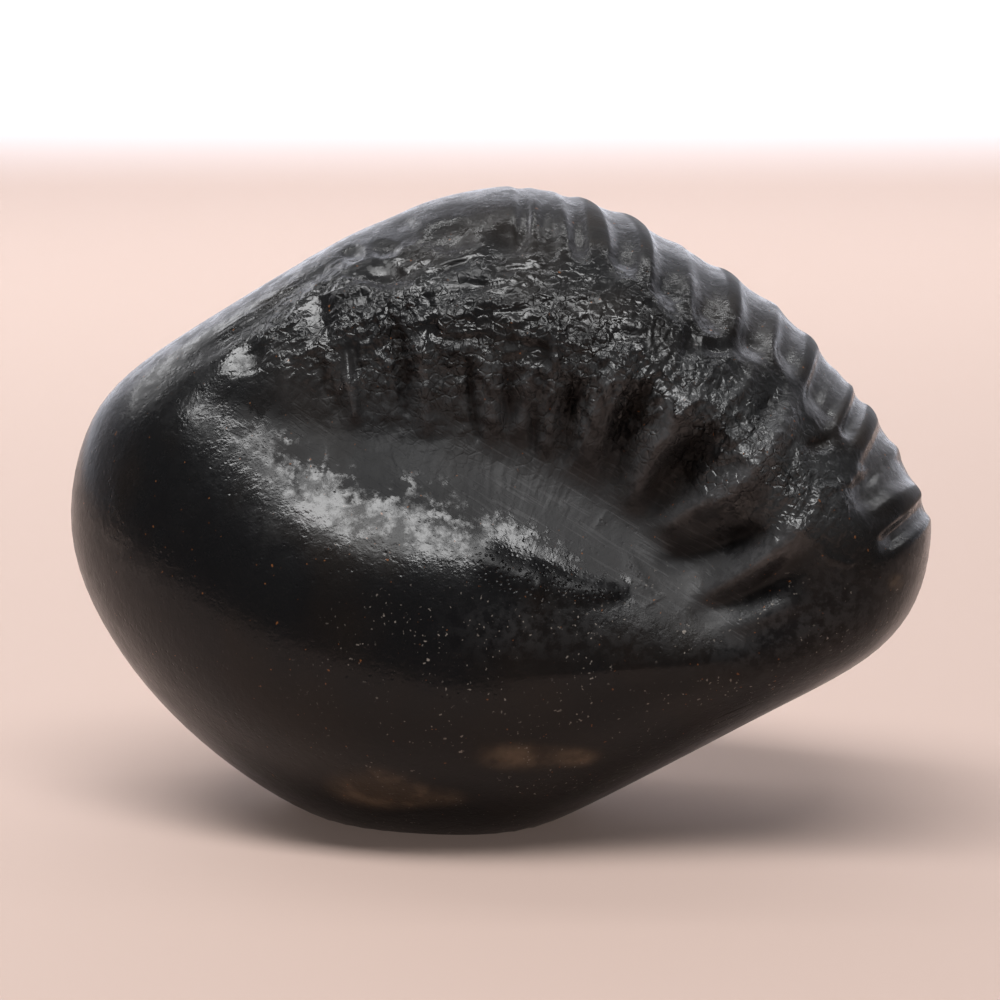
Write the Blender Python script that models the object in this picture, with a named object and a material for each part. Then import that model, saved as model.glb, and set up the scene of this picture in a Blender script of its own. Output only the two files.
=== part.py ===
"""An ammonite fossil: a black river-worn stone with a ribbed stretch of the shell's coil on its face.

The whole thing is one solid. It starts as a UV sphere with one pole in the middle of the face and the
other in the middle of the back, and each vertex is moved to its place on the stone. A meridian leaves
the front pole, runs out along the shell's ribs to the edge, and comes back round to the rear pole, so
the mesh's own lines follow the ribs.

The shape is worked out in the face's own frame: x to the right, z up and y away from the viewer, who
sees the face square on. The stone is then leant back and set down on its worn foot.
Run it with: blender --background --python part.py
"""

import math

import bpy
import numpy as np

# Lengths, heights and widths are millimetres, and the mesh is in Blender's metres.
MM = 0.001

# The mesh. Meridians crowd together where the ribs are, and rings crowd together on the face, by the
# density between each pair of stations or ring angles.
MERIDIANS = 108
RINGS = 46
MERIDIAN_DENSITY = ((4.0, 18.8, 3.2),)
RING_DENSITY = ((-8.0, 42.0, 3.2), (42.0, 114.0, 1.8))

# Half thickness of the stone at its two poles, and how full the roundness from pole to edge is.
FACE_DEPTH = 19.0
BACK_DEPTH = 21.0
FACE_FULLNESS = 2.6
BACK_FULLNESS = 2.4
FRONT_POLE = (-2.5, -13.0)
REAR_POLE = (-1.8, 0.0)

# The right end of the stone is turned a little towards the viewer.
TURN = -0.10
LEAN_DEG = 9.0
# How much the river wore off the lowest point, which leaves the flat foot, and the foot's soft rim.
FOOT_WEAR = 2.3
FOOT_RIM = 0.15

# Places on the face are named by the photograph's pixels, as a column from the left and a row from the
# top, and place() turns them into millimetres. The photograph's middle lies on this column and row, a
# pixel spans this much at the depth of the stone's edge, and the middle lies this far up the stone.
PHOTO_MIDDLE = 500.0
PIXEL_MM = 0.0882
PHOTO_MIDDLE_Z = 1.76
# How far away the viewer is, how far the middle of the face bulges towards them, what a pixel spans on
# the bulging face, and half the columns and rows that the stone fills.
VIEWING_DISTANCE = 318.5
SEEN_BULGE = FACE_DEPTH
FACE_PIXEL_MM = 0.0833
HALF_COLUMNS = 431.0
HALF_ROWS = 326.0


def place(column, row, bulge):
    """The face's x and z at a pixel. What bulges towards the viewer looks larger than it is.

    bulge is how far the middle of the face stands before the edge, or 0 for a place level with the edge.
    """
    right, up = column - PHOTO_MIDDLE, PHOTO_MIDDLE - row
    reach = math.hypot(right / HALF_COLUMNS, (up * PIXEL_MM + PHOTO_MIDDLE_Z) / (HALF_ROWS * PIXEL_MM))
    nearer = bulge * math.sqrt(max(1.0 - reach**3, 0.0)) - TURN * right * PIXEL_MM if bulge else 0.0
    scale = PIXEL_MM * (1.0 - (nearer) / VIEWING_DISTANCE)
    return right * scale, up * scale + PHOTO_MIDDLE_Z


def from_photo(rows, pairs=1, bulge=SEEN_BULGE):
    """The rows with their leading pairs of a column and a row turned into pairs of x and z."""
    turned = []
    for row in rows:
        ends = [value for k in range(pairs) for value in place(row[2 * k], row[2 * k + 1], bulge)]
        turned.append((*ends, *row[2 * pairs:]))
    return tuple(turned)


# Stations clockwise round the edge, from the left end. Each row has the column and row of the edge
# there, and the column and row of the guide that bends the meridian from the front pole to the edge.
STATIONS = from_photo((
    (67, 530, 230, 560),
    (82, 432, 225, 505),
    (130, 369, 225, 450),
    (206, 318, 235, 420),
    (281, 273, 265, 410),
    (349, 235, 296, 403),
    (393, 216, 337, 405),
    (436, 199, 387, 407),
    (505, 187, 450, 380),
    (560, 193, 525, 365),
    (620, 212, 580, 350),
    (668, 238, 621, 336),
    (695, 252, 665, 375),
    (722, 270, 714, 410),
    (765, 297, 745, 460),
    (805, 335, 772, 518),
    (850, 388, 800, 545),
    (890, 442, 830, 564),
    (915, 490, 835, 598),
    (924, 524, 831, 628),
    (912, 590, 815, 650),
    (865, 652, 760, 665),
    (780, 702, 690, 680),
    (690, 750, 630, 690),
    (604, 795, 573, 708),
    (509, 834, 523, 719),
    (410, 838, 450, 720),
    (320, 818, 380, 715),
    (235, 770, 320, 695),
    (160, 705, 275, 665),
    (100, 625, 245, 620),
), pairs=2, bulge=0.0)

# Soft swellings of the face: x, z, height and radius.
FACE_SWELLINGS = (
    (-15.0, -10.0, 3.8, 18.0),
    (24.0, -6.0, 1.2, 12.0),
)
# The valley lies where the smooth lobe and the coil both roll away from the viewer. Each starts to
# fall along a line, left to right: column, row and slope beyond the line.
LOBE_SHOULDER = from_photo((
    (150, 335, 0.38),
    (152, 370, 0.38),
    (168, 420, 0.38),
    (200, 480, 0.38),
    (260, 535, 0.38),
    (340, 560, 0.40),
    (430, 568, 0.43),
    (520, 590, 0.52),
    (600, 622, 0.60),
    (680, 658, 0.65),
    (740, 686, 0.60),
    (800, 705, 0.50),
    (850, 715, 0.40),
))
COIL_SHOULDER = from_photo((
    (150, 378, 0.36),
    (190, 352, 0.36),
    (235, 328, 0.38),
    (300, 308, 0.40),
    (380, 308, 0.42),
    (450, 322, 0.46),
    (520, 342, 0.52),
    (580, 362, 0.55),
    (640, 388, 0.56),
    (700, 428, 0.57),
    (750, 480, 0.57),
    (788, 540, 0.57),
    (800, 600, 0.57),
    (780, 655, 0.57),
    (745, 700, 0.57),
))
LOBE_ROUNDING = 3.5
COIL_ROUNDING = 2.5
# Rounding of the crease where the two meet, as a part of its depth.
CREASE_ROUNDING = 0.12
# The swell of the coil's side, along its middle: column, row, height and half width in millimetres.
COIL = from_photo((
    (262, 345, 0.30, 5.8),
    (330, 320, 0.80, 5.8),
    (420, 308, 1.30, 6.0),
    (540, 318, 2.00, 6.0),
    (640, 355, 2.60, 5.8),
    (720, 410, 2.80, 5.5),
    (790, 480, 2.60, 5.0),
    (838, 548, 1.50, 4.3),
))
# The foot of the smooth outer rock along the top left, which ends in a low ledge over the coil, in the
# same columns.
LEDGE = from_photo((
    (150, 382, -0.20, 1.3),
    (200, 352, -0.50, 1.3),
    (245, 328, -0.70, 1.1),
    (290, 293, -0.70, 1.0),
    (330, 262, -0.70, 1.0),
    (375, 232, -0.60, 1.0),
    (420, 214, -0.40, 1.0),
    (470, 206, -0.20, 1.0),
))

# Soft swellings of the back, which the river left plain: x, z, height and radius.
BACK_SWELLINGS = (
    (-14.0, -6.0, 2.4, 18.0),
    (12.0, 10.0, -1.6, 12.0),
    (20.0, -8.0, 0.8, 10.0),
)

# Ribs of the coil's inner side: column and row of the inner end, then of the outer end, how far the
# middle bows to the left of the line between them, height and half width in millimetres.
INNER_RIBS = from_photo((
    (284, 408, 284, 360, 0.0, 0.30, 0.70),
    (354, 419, 341, 338, 0.0, 0.80, 0.80),
    (426, 428, 420, 302, 0.0, 0.75, 0.90),
    (492, 434, 488, 352, 0.0, 0.90, 1.00),
    (520, 430, 532, 350, 0.0, 0.70, 0.90),
    (548, 446, 557, 300, 0.0, 0.60, 0.80),
    (584, 462, 625, 358, 0.5, 1.10, 1.00),
    (601, 446, 636, 362, 0.3, 0.60, 0.50),
    (634, 502, 697, 392, 0.5, 1.40, 1.25),
    (664, 526, 794, 392, -1.7, 1.40, 1.30),
    (726, 402, 753, 364, -0.5, 0.40, 0.60),
    (706, 596, 802, 522, -0.3, 1.50, 1.25),
    (730, 628, 798, 600, 0.0, 0.50, 1.00),
), pairs=2)
# Grooves, deep pockets and pits between them, in the same columns.
GROOVES = from_photo((
    (372, 262, 412, 262, 0.0, -0.35, 0.50),
    (440, 270, 482, 257, 0.0, -0.35, 0.50),
    (500, 272, 538, 268, 0.0, -0.30, 0.50),
    (442, 340, 500, 338, 0.0, -0.35, 0.50),
    (505, 338, 560, 350, 0.0, -0.30, 0.50),
    (404, 412, 383, 300, -0.5, -0.50, 0.80),
    (340, 415, 312, 352, 0.0, -0.30, 0.80),
    (478, 438, 471, 350, 0.3, -0.60, 0.50),
    (508, 430, 508, 368, 0.0, -0.40, 0.80),
    (534, 456, 534, 405, 0.0, -0.50, 0.50),
    (563, 458, 577, 380, 0.0, -0.80, 0.90),
    (612, 482, 652, 382, 0.5, -1.00, 1.10),
    (655, 510, 716, 436, 0.5, -1.50, 1.50),
    (758, 424, 774, 392, 0.0, -0.60, 1.00),
    (672, 562, 764, 531, 0.0, -1.30, 1.10),
    (702, 612, 800, 560, -0.3, -0.60, 1.20),
    (806, 446, 834, 440, 0.0, -0.70, 0.80),
    (856, 482, 868, 474, 0.0, -0.60, 0.70),
), pairs=2)
# Ribs of the coil's outer side, which cross its edge and die out on the back: station and ring angle
# of the inner end, station where the rib crosses the edge, ring angle where it ends, height and half
# width.
OUTER_RIBS = (
    (8.60, 51.0, 8.20, 100.0, 0.45, 0.75),
    (9.10, 47.0, 8.60, 104.0, 0.35, 1.10),
    (9.55, 51.0, 9.05, 108.0, 0.60, 1.00),
    (10.45, 49.0, 9.70, 114.0, 0.80, 1.60),
    (11.70, 46.0, 10.60, 118.0, 0.90, 2.00),
    (12.85, 47.0, 12.25, 118.0, 0.95, 2.10),
    (13.85, 50.0, 13.75, 118.0, 0.95, 2.00),
    (14.55, 55.0, 14.65, 118.0, 0.90, 1.80),
    (15.30, 53.0, 15.50, 118.0, 0.85, 1.50),
    (15.60, 52.0, 15.85, 100.0, 0.50, 0.85),
    (16.05, 55.0, 16.15, 118.0, 0.85, 0.95),
    (16.70, 51.0, 16.80, 118.0, 0.85, 1.50),
    (16.85, 45.0, 17.55, 116.0, 0.90, 1.70),
    (18.05, 47.0, 18.50, 108.0, 0.80, 1.10),
)
RIB_START_DEG = 5.0
RIB_END_DEG = 12.0
# The share of an outer rib's height that is worn off where it crosses the edge, the ring angles between
# which the wear sets in, and the part of its width that a rib has at its inner end.
EDGE_WEAR = 0.5
EDGE_WEAR_DEG = (62.0, 86.0)
INNER_WIDTH = 0.7

# The rough, weathered band between the inner and the outer ribs: column, row, height of its lumps and
# half width in millimetres.
ROUGH_BAND = from_photo((
    (250, 335, 0.25, 2.5),
    (350, 320, 0.40, 3.8),
    (450, 330, 0.50, 5.0),
    (560, 345, 0.50, 5.0),
    (650, 372, 0.55, 4.7),
    (720, 420, 0.60, 4.3),
    (785, 478, 0.60, 3.8),
    (840, 510, 0.45, 3.0),
))
# The lumps' lengths round the coil and along a rib, in stations and in degrees of ring angle.
LUMP_STATIONS = 0.55
LUMP_DEG = 4.5

# Lumps and facets that stand out singly: column, row, height in millimetres, and radii across and up in
# pixels.
LUMPS = from_photo((
    (250, 355, 0.50, 14, 16),
    (318, 316, 0.50, 17, 24),
    (348, 356, 0.45, 10, 18),
    (385, 275, 0.50, 22, 12),
    (352, 253, 0.35, 11, 8),
    (383, 248, 0.40, 14, 9),
    (362, 300, 0.30, 11, 11),
    (403, 230, 0.25, 18, 16),
    (450, 236, 0.35, 26, 18),
    (505, 245, 0.30, 15, 17),
    (424, 303, 0.35, 9, 12),
    (427, 330, 0.45, 11, 11),
    (470, 285, 0.35, 18, 9),
    (480, 322, 0.30, 15, 16),
    (537, 354, 0.40, 15, 12),
    (517, 408, 0.30, 13, 10),
    (618, 335, 0.30, 14, 12),
    (690, 346, 0.35, 10, 14),
    (716, 347, 0.35, 14, 9),
    (746, 344, 0.40, 16, 14),
    (672, 428, 0.30, 16, 12),
    (735, 470, 0.30, 16, 12),
    (700, 520, 0.30, 18, 12),
    (872, 505, 0.35, 26, 18),
))

# The small knob at the right end, where the last rib meets the edge: station, ring angle, height and
# radius.
KNOB = (18.55, 88.0, 0.8, 1.0)

STONE_COLOUR = (0.012, 0.012, 0.013, 1.0)
STONE_ROUGHNESS = 0.38


def clear_scene():
    """Removes what the file starts with."""
    for thing in list(bpy.data.objects):
        bpy.data.objects.remove(thing, do_unlink=True)


def smooth_step(value):
    """0 below 0, 1 above 1, and an S curve between them."""
    share = np.clip(value, 0.0, 1.0)
    return share * share * (3.0 - 2.0 * share)


def closed_curve(points, stations):
    """The smooth closed curve through the points, read at the given stations: a periodic cubic spline."""
    points = np.asarray(points, float)
    count = len(points)
    ring = np.eye(count)
    pull = (4.0 * ring + np.roll(ring, 1, axis=0) + np.roll(ring, -1, axis=0)) / 6.0
    controls = np.linalg.solve(pull, points)
    whole = np.floor(stations).astype(int)
    part = (stations - whole)[..., None]
    weights = (
        (1.0 - part) ** 3 / 6.0,
        (3.0 * part**3 - 6.0 * part**2 + 4.0) / 6.0,
        (-3.0 * part**3 + 3.0 * part**2 + 3.0 * part + 1.0) / 6.0,
        part**3 / 6.0,
    )
    return sum(weight * controls[(whole + k - 1) % count] for k, weight in enumerate(weights))


def open_curve(rows, samples):
    """Evenly counted samples of the smooth curve through the rows: a Catmull-Rom spline."""
    rows = np.asarray(rows, float)
    padded = np.vstack([2.0 * rows[0] - rows[1], rows, 2.0 * rows[-1] - rows[-2]])
    along = np.linspace(0.0, len(rows) - 1.0, samples)
    first = np.minimum(along.astype(int), len(rows) - 2)
    part = (along - first)[:, None]
    a, b, c, d = (padded[first + k] for k in range(4))
    bend, twist = 2.0 * a - 5.0 * b + 4.0 * c - d, 3.0 * b - a - 3.0 * c + d
    return 0.5 * (2.0 * b + (c - a) * part + bend * part**2 + twist * part**3)


def soft_stroke(x, z, rows, samples=60):
    """A soft ridge along a course, or a trough where its height is below 0.

    It is the sum of round Gaussian bumps along the course, each weighted by the length that it stands
    for, so that the crest has the stated height.
    """
    path = open_curve(rows, samples)
    steps = np.linalg.norm(np.gradient(path[:, :2], axis=0), axis=1)
    weights = path[:, 2] * steps / (math.sqrt(math.pi) * path[:, 3])
    away = (x[..., None] - path[:, 0]) ** 2 + (z[..., None] - path[:, 1]) ** 2
    return (weights * np.exp(-away / path[:, 3] ** 2)).sum(axis=-1)


def fall_beyond(x, z, rows, rounding):
    """How far the ground has fallen on the left of a line, from the line's slope at its nearest point."""
    path = open_curve(rows, 49)
    start, run = path[:-1], np.diff(path, axis=0)
    off_x, off_z = x[..., None] - start[:, 0], z[..., None] - start[:, 1]
    length = np.hypot(run[:, 0], run[:, 1])
    share = np.clip((off_x * run[:, 0] + off_z * run[:, 1]) / length**2, 0.0, 1.0)
    away = np.hypot(off_x - share * run[:, 0], off_z - share * run[:, 1])
    side = (off_z * run[:, 0] - off_x * run[:, 1]) / length
    nearest = away.argmin(axis=-1)[..., None]
    share, away, side = (np.take_along_axis(part, nearest, -1)[..., 0] for part in (share, away, side))
    slope = start[nearest[..., 0], 2] + share * run[nearest[..., 0], 2]
    beyond = np.sign(side) * away
    return slope * (beyond + np.sqrt(beyond**2 + rounding**2)) / 2.0


def valley(x, z):
    """Depth of the valley: the lesser of the lobe's fall and the coil's, with a rounded crease."""
    lobe = fall_beyond(x, z, LOBE_SHOULDER, LOBE_ROUNDING)
    coil = fall_beyond(x, z, COIL_SHOULDER[::-1], COIL_ROUNDING)
    soft = CREASE_ROUNDING * (lobe + coil)
    return (lobe + coil - np.sqrt((lobe - coil) ** 2 + soft**2)) / 2.0


def swellings(x, z, rows):
    """The sum of round Gaussian swellings."""
    return sum(h * np.exp(-((x - cx) ** 2 + (z - cz) ** 2) / radius**2) for cx, cz, h, radius in rows)


def lattice_value(i, j):
    """A fixed value from -1 to 1 for each whole-numbered lattice point."""
    wave = np.sin(i * 127.1 + j * 311.7) * 43758.5453
    return 2.0 * (wave - np.floor(wave)) - 1.0


def lumps(a, b):
    """Value noise from -1 to 1: the lattice's values, blended smoothly between its points."""
    i, j = np.floor(a), np.floor(b)
    s, t = smooth_step(a - i), smooth_step(b - j)
    low = lattice_value(i, j) * (1 - s) + lattice_value(i + 1, j) * s
    high = lattice_value(i, j + 1) * (1 - s) + lattice_value(i + 1, j + 1) * s
    return low * (1 - t) + high * t


def roundness(reach, fullness):
    """How much of the full depth is left at this share of the way from the pole to the edge."""
    return np.sqrt(np.maximum(1.0 - reach**fullness, 0.0))


def worn_stone(station, angle):
    """The stone without its ribs, in the face's frame. angle is 0 at the front pole and 180 at the rear."""
    reach = np.sin(np.radians(angle))
    line = closed_curve(STATIONS, station)
    edge, guide = line[..., :2], line[..., 2:]
    r = reach[..., None]
    front = (1 - r) ** 2 * np.array(FRONT_POLE) + 2 * r * (1 - r) * guide + r**2 * edge
    back = (1 - r) * np.array(REAR_POLE) + r * edge
    on_front = angle < 90.0
    x, z = np.moveaxis(np.where(on_front[..., None], front, back), -1, 0)
    face = FACE_DEPTH + swellings(x, z, FACE_SWELLINGS) - valley(x, z)
    face = face + soft_stroke(x, z, COIL) + soft_stroke(x, z, LEDGE)
    rear = BACK_DEPTH + swellings(x, z, BACK_SWELLINGS)
    y = np.where(on_front, -face * roundness(reach, FACE_FULLNESS), rear * roundness(reach, BACK_FULLNESS))
    return np.stack([x, y + TURN * x, z], axis=-1)


def slopes(station, angle):
    """Unit normals of the worn stone, and its millimetres per station, from two short steps."""
    step = 0.02
    inner = np.clip(angle, 0.5, 179.5)
    across = worn_stone(station + step, inner) - worn_stone(station - step, inner)
    along = worn_stone(station, inner + 10 * step) - worn_stone(station, inner - 10 * step)
    normal = np.cross(along, across)
    normal /= np.linalg.norm(normal, axis=-1, keepdims=True)
    pole = np.where(angle < 90.0, -1.0, 1.0)[..., None] * np.array([0.0, 1.0, 0.0])
    near_pole = (np.minimum(angle, 180.0 - angle) < 0.5)[..., None]
    spacing = np.linalg.norm(across, axis=-1) / (2 * step)
    return np.where(near_pole, pole, normal), spacing


def face_ribbing(x, z, rows):
    """Ribs or grooves on the face: a full start near the crease and a longer fade at the outer end."""
    total = np.zeros_like(x)
    for x0, z0, x1, z1, bow, height, half_width in rows:
        length = math.hypot(x1 - x0, z1 - z0)
        side_x, side_z = bow * (z0 - z1) / length, bow * (x1 - x0) / length
        course = (
            (x0, z0, 0.8 * height, half_width),
            ((2 * x0 + x1) / 3 + side_x, (2 * z0 + z1) / 3 + side_z, height, half_width),
            ((x0 + 2 * x1) / 3 + side_x, (z0 + 2 * z1) / 3 + side_z, height, half_width),
            (x1, z1, 0.3 * height, half_width),
        )
        total += soft_stroke(x, z, course, 24)
    return total


def edge_ribbing(station, angle, spacing):
    """The outer ribs, each along a line of stations that shifts steadily from its inner end to the edge.

    A rib has a broad, flattened crest, so that the grooves between the ribs are narrow.
    """
    total = np.zeros_like(station)
    for inner_station, start, edge_station, end, height, half_width in OUTER_RIBS:
        share = np.clip((angle - start) / (90.0 - start), 0.0, 1.0)
        centre = inner_station + (edge_station - inner_station) * share
        width = half_width * (INNER_WIDTH + (1.0 - INNER_WIDTH) * share)
        section = np.exp(-(np.abs((station - centre) * spacing / width) ** 3))
        length = smooth_step((angle - start) / RIB_START_DEG) * smooth_step((end - angle) / RIB_END_DEG)
        total += height * section * length
    first, last = EDGE_WEAR_DEG
    return total * (1.0 - EDGE_WEAR * smooth_step((angle - first) / (last - first)))


def relief(station, angle, x, z, spacing):
    """Everything that stands out of the worn stone or is cut into it.

    Returns the height along the surface's normal, and the height of the inner ribs straight towards the
    viewer, which keeps both of a rib's flanks in sight on the steep wall of the valley.
    """
    on_face = smooth_step((90.0 - angle) / 8.0)
    ribbing = (face_ribbing(x, z, INNER_RIBS) + face_ribbing(x, z, GROOVES)) * on_face
    height = edge_ribbing(station, angle, spacing)
    for cx, cz, lump, half_columns, half_rows in LUMPS:
        across, up = half_columns * FACE_PIXEL_MM, half_rows * FACE_PIXEL_MM
        height = height + lump * on_face * np.exp(-(((x - cx) / across) ** 2) - ((z - cz) / up) ** 2)
    rough = soft_stroke(x, z, ROUGH_BAND) * on_face
    height = height + rough * lumps(station / LUMP_STATIONS, angle / LUMP_DEG)
    centre, ring, knob, radius = KNOB
    away = ((station - centre) * spacing) ** 2 + (np.radians(angle - ring) * 21.0) ** 2
    return height + knob * np.exp(-away / radius**2), ribbing


def lean_back(points):
    """Turns the face's frame about x, so that the face looks a little upwards."""
    c, s = math.cos(math.radians(LEAN_DEG)), math.sin(math.radians(LEAN_DEG))
    x, y, z = np.moveaxis(points, -1, 0)
    return np.stack([x, y * c + z * s, z * c - y * s], axis=-1)


def set_down(points):
    """Wears the foot flat, puts it at z = 0 and centres the stone over the origin."""
    points = points.copy()
    above = points[:, 2] - (points[:, 2].min() + FOOT_WEAR)
    blended = (above + FOOT_RIM) ** 2 / (4.0 * FOOT_RIM)
    points[:, 2] = np.where(above > FOOT_RIM, above, np.where(above < -FOOT_RIM, 0.0, blended))
    points[:, :2] -= (points[:, :2].min(axis=0) + points[:, :2].max(axis=0)) / 2.0
    return points


def crowd(shares, whole, bands):
    """Maps even shares from 0 to 1 onto places from 0 to whole that crowd together inside the bands."""
    places = np.linspace(0.0, whole, 2001)
    soft = 0.02 * whole
    density = np.ones_like(places)
    for low, high, times in bands:
        inside = smooth_step((places - low) / soft) * smooth_step((high - places) / soft + 1.0)
        density += (times - 1.0) * inside
    run = np.cumsum(density)
    run = (run - run[0]) / (run[-1] - run[0])
    return np.interp(shares, run, places)


def stone_points(sphere_points):
    """Where each point of the unit sphere goes on the stone, in millimetres."""
    x, y, z = sphere_points.T
    turn = np.mod(-np.arctan2(y, x) / (2.0 * math.pi), 1.0)
    fall = np.arccos(np.clip(z, -1.0, 1.0)) / math.pi
    station = crowd(turn, len(STATIONS), MERIDIAN_DENSITY)
    angle = crowd(fall, 180.0, RING_DENSITY)
    base = worn_stone(station, angle)
    normal, spacing = slopes(station, angle)
    raised, ribbing = relief(station, angle, base[:, 0], base[:, 2], spacing)
    points = base + raised[:, None] * normal - ribbing[:, None] * np.array([0.0, 1.0, 0.0])
    return set_down(lean_back(points))


def stone_material():
    """Black, close-grained limestone with a waxy polish."""
    material = bpy.data.materials.new("black_stone")
    material.use_nodes = True
    shader = material.node_tree.nodes["Principled BSDF"]
    shader.inputs["Base Color"].default_value = STONE_COLOUR
    shader.inputs["Roughness"].default_value = STONE_ROUGHNESS
    shader.inputs["Metallic"].default_value = 0.0
    return material


def fossil_stone(collection):
    """The stone: a UV sphere with every vertex moved to its place."""
    bpy.ops.mesh.primitive_uv_sphere_add(segments=MERIDIANS, ring_count=RINGS, radius=1.0)
    stone = bpy.context.active_object
    stone.name = "ammonite_stone"
    mesh = stone.data
    mesh.name = "ammonite_stone"
    flat = np.empty(len(mesh.vertices) * 3, np.float32)
    mesh.vertices.foreach_get("co", flat)
    points = stone_points(flat.reshape(-1, 3).astype(float)) * MM
    mesh.vertices.foreach_set("co", points.astype(np.float32).ravel())
    mesh.shade_smooth()
    mesh.materials.append(stone_material())
    mesh.update()
    for holder in list(stone.users_collection):
        holder.objects.unlink(stone)
    collection.objects.link(stone)
    return stone


def main():
    clear_scene()
    collection = bpy.data.collections.new("ammonite_fossil")
    bpy.context.scene.collection.children.link(collection)
    fossil_stone(collection)


if __name__ == "__main__":
    main()
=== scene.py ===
"""The looks of an ammonite fossil: a black river-worn stone with a ribbed stretch of the coil on its face.

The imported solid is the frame. One fine surface stands in its place, with the ribs, scales, cracks and
pits that the solid is too coarse for, and a waxy black finish. The file is laid out as an add-on and
is run as a script. The shape is worked out in millimetres in the face's own frame: x to the right, z
up and y away from the viewer, who sees the face square on.
"""

import math

import bpy
import numpy as np
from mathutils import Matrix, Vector


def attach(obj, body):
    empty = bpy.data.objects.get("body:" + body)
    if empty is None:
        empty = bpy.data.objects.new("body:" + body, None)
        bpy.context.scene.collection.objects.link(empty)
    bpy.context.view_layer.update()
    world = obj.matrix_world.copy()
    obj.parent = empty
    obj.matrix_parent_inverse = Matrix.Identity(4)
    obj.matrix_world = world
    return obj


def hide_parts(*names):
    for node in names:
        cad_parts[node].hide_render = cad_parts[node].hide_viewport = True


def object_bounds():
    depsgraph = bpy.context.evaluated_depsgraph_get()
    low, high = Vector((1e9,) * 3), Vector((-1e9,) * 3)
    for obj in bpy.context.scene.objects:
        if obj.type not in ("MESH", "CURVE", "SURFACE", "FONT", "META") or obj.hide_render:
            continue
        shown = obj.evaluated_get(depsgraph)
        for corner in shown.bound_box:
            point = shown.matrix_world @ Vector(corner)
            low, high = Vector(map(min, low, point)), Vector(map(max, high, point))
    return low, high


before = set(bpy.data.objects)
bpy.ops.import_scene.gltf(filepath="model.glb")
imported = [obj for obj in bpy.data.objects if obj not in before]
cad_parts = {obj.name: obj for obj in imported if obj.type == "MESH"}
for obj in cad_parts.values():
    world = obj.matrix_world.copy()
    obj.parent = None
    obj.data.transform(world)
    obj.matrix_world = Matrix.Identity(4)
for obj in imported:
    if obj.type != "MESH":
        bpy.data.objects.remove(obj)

bl_info = {
    "name": "Ammonite Fossil",
    "version": (1, 0, 0),
    "blender": (4, 5, 0),
    "location": "3D View > Sidebar > Fossil",
    "description": "A black river-worn stone with a ribbed ammonite coil, on a pale studio floor",
    "category": "Object",
}

CAD_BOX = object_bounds()
STONE_NODE = "ammonite_stone"
MM = 0.001

# Places on the face are named by the photograph's pixels, as a column from the left and a row from the
# top, and place() turns them into millimetres. The photograph's middle lies on this column and row, a
# pixel spans this much at the depth of the stone's edge, and the middle lies this far up the stone.
PHOTO_MIDDLE = 500.0
PIXEL_MM = 0.0882
PHOTO_MIDDLE_Z = 1.76
# The right end of the stone is turned a little towards the viewer.
TURN = -0.10
# How far away the viewer is, how far the middle of the face bulges towards them, what a pixel spans on
# the bulging face, and half the columns and rows that the stone fills.
VIEWING_DISTANCE = 318.5
SEEN_BULGE = 19.0
FACE_PIXEL_MM = 0.0833
HALF_COLUMNS = 431.0
HALF_ROWS = 326.0


def place(column, row, bulge):
    """The face's x and z at a pixel. What bulges towards the viewer looks larger than it is.

    bulge is how far the middle of the face stands before the edge, or 0 for a place level with the edge.
    """
    right, up = column - PHOTO_MIDDLE, PHOTO_MIDDLE - row
    reach = math.hypot(right / HALF_COLUMNS, (up * PIXEL_MM + PHOTO_MIDDLE_Z) / (HALF_ROWS * PIXEL_MM))
    nearer = bulge * math.sqrt(max(1.0 - reach**3, 0.0)) - TURN * right * PIXEL_MM if bulge else 0.0
    scale = PIXEL_MM * (1.0 - nearer / VIEWING_DISTANCE)
    return right * scale, up * scale + PHOTO_MIDDLE_Z


def from_photo(rows, pairs=1, bulge=SEEN_BULGE):
    """The rows with their leading pairs of a column and a row turned into pairs of x and z."""
    turned = []
    for row in rows:
        ends = [value for k in range(pairs) for value in place(row[2 * k], row[2 * k + 1], bulge)]
        turned.append((*ends, *row[2 * pairs:]))
    return tuple(turned)


# Stations clockwise round the edge, from the left end. Each row has the column and row of the edge
# there, and the column and row of the guide that bends the meridian from the front pole to the edge.
STATIONS = from_photo((
    (67, 530, 230, 560),
    (82, 432, 225, 505),
    (130, 369, 225, 450),
    (206, 318, 235, 420),
    (281, 273, 265, 410),
    (349, 235, 296, 403),
    (393, 216, 337, 405),
    (436, 199, 387, 407),
    (505, 187, 450, 380),
    (560, 193, 525, 365),
    (620, 212, 580, 350),
    (668, 238, 621, 336),
    (695, 252, 665, 375),
    (722, 270, 714, 410),
    (765, 297, 745, 460),
    (805, 335, 772, 518),
    (850, 388, 800, 545),
    (890, 442, 830, 564),
    (915, 490, 835, 598),
    (924, 524, 831, 628),
    (912, 590, 815, 650),
    (865, 652, 760, 665),
    (780, 702, 690, 680),
    (690, 750, 630, 690),
    (604, 795, 573, 708),
    (509, 834, 523, 719),
    (410, 838, 450, 720),
    (320, 818, 380, 715),
    (235, 770, 320, 695),
    (160, 705, 275, 665),
    (100, 625, 245, 620),
), pairs=2, bulge=0.0)
# The x and z of the two poles, and how full the roundness from pole to edge is.
FRONT_POLE = (-2.5, -13.0)
REAR_POLE = (-1.8, 0.0)
FACE_FULLNESS = 2.6
BACK_FULLNESS = 2.4
# The ring angle of the edge, and the degrees over which the relief of the face fades out before it.
EDGE_DEG = 90.0
FACE_FADE_DEG = 8.0
# The soft rim of the flat foot.
FOOT_RIM = 0.15

# Meridians crowd together where the ribs are, and rings on the face, by the density between stations
# or ring angles.
MERIDIAN_DENSITY = ((3.6, 18.8, 4.4),)
RING_DENSITY = ((3.0, 20.0, 2.5), (20.0, 96.0, 3.8))

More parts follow.
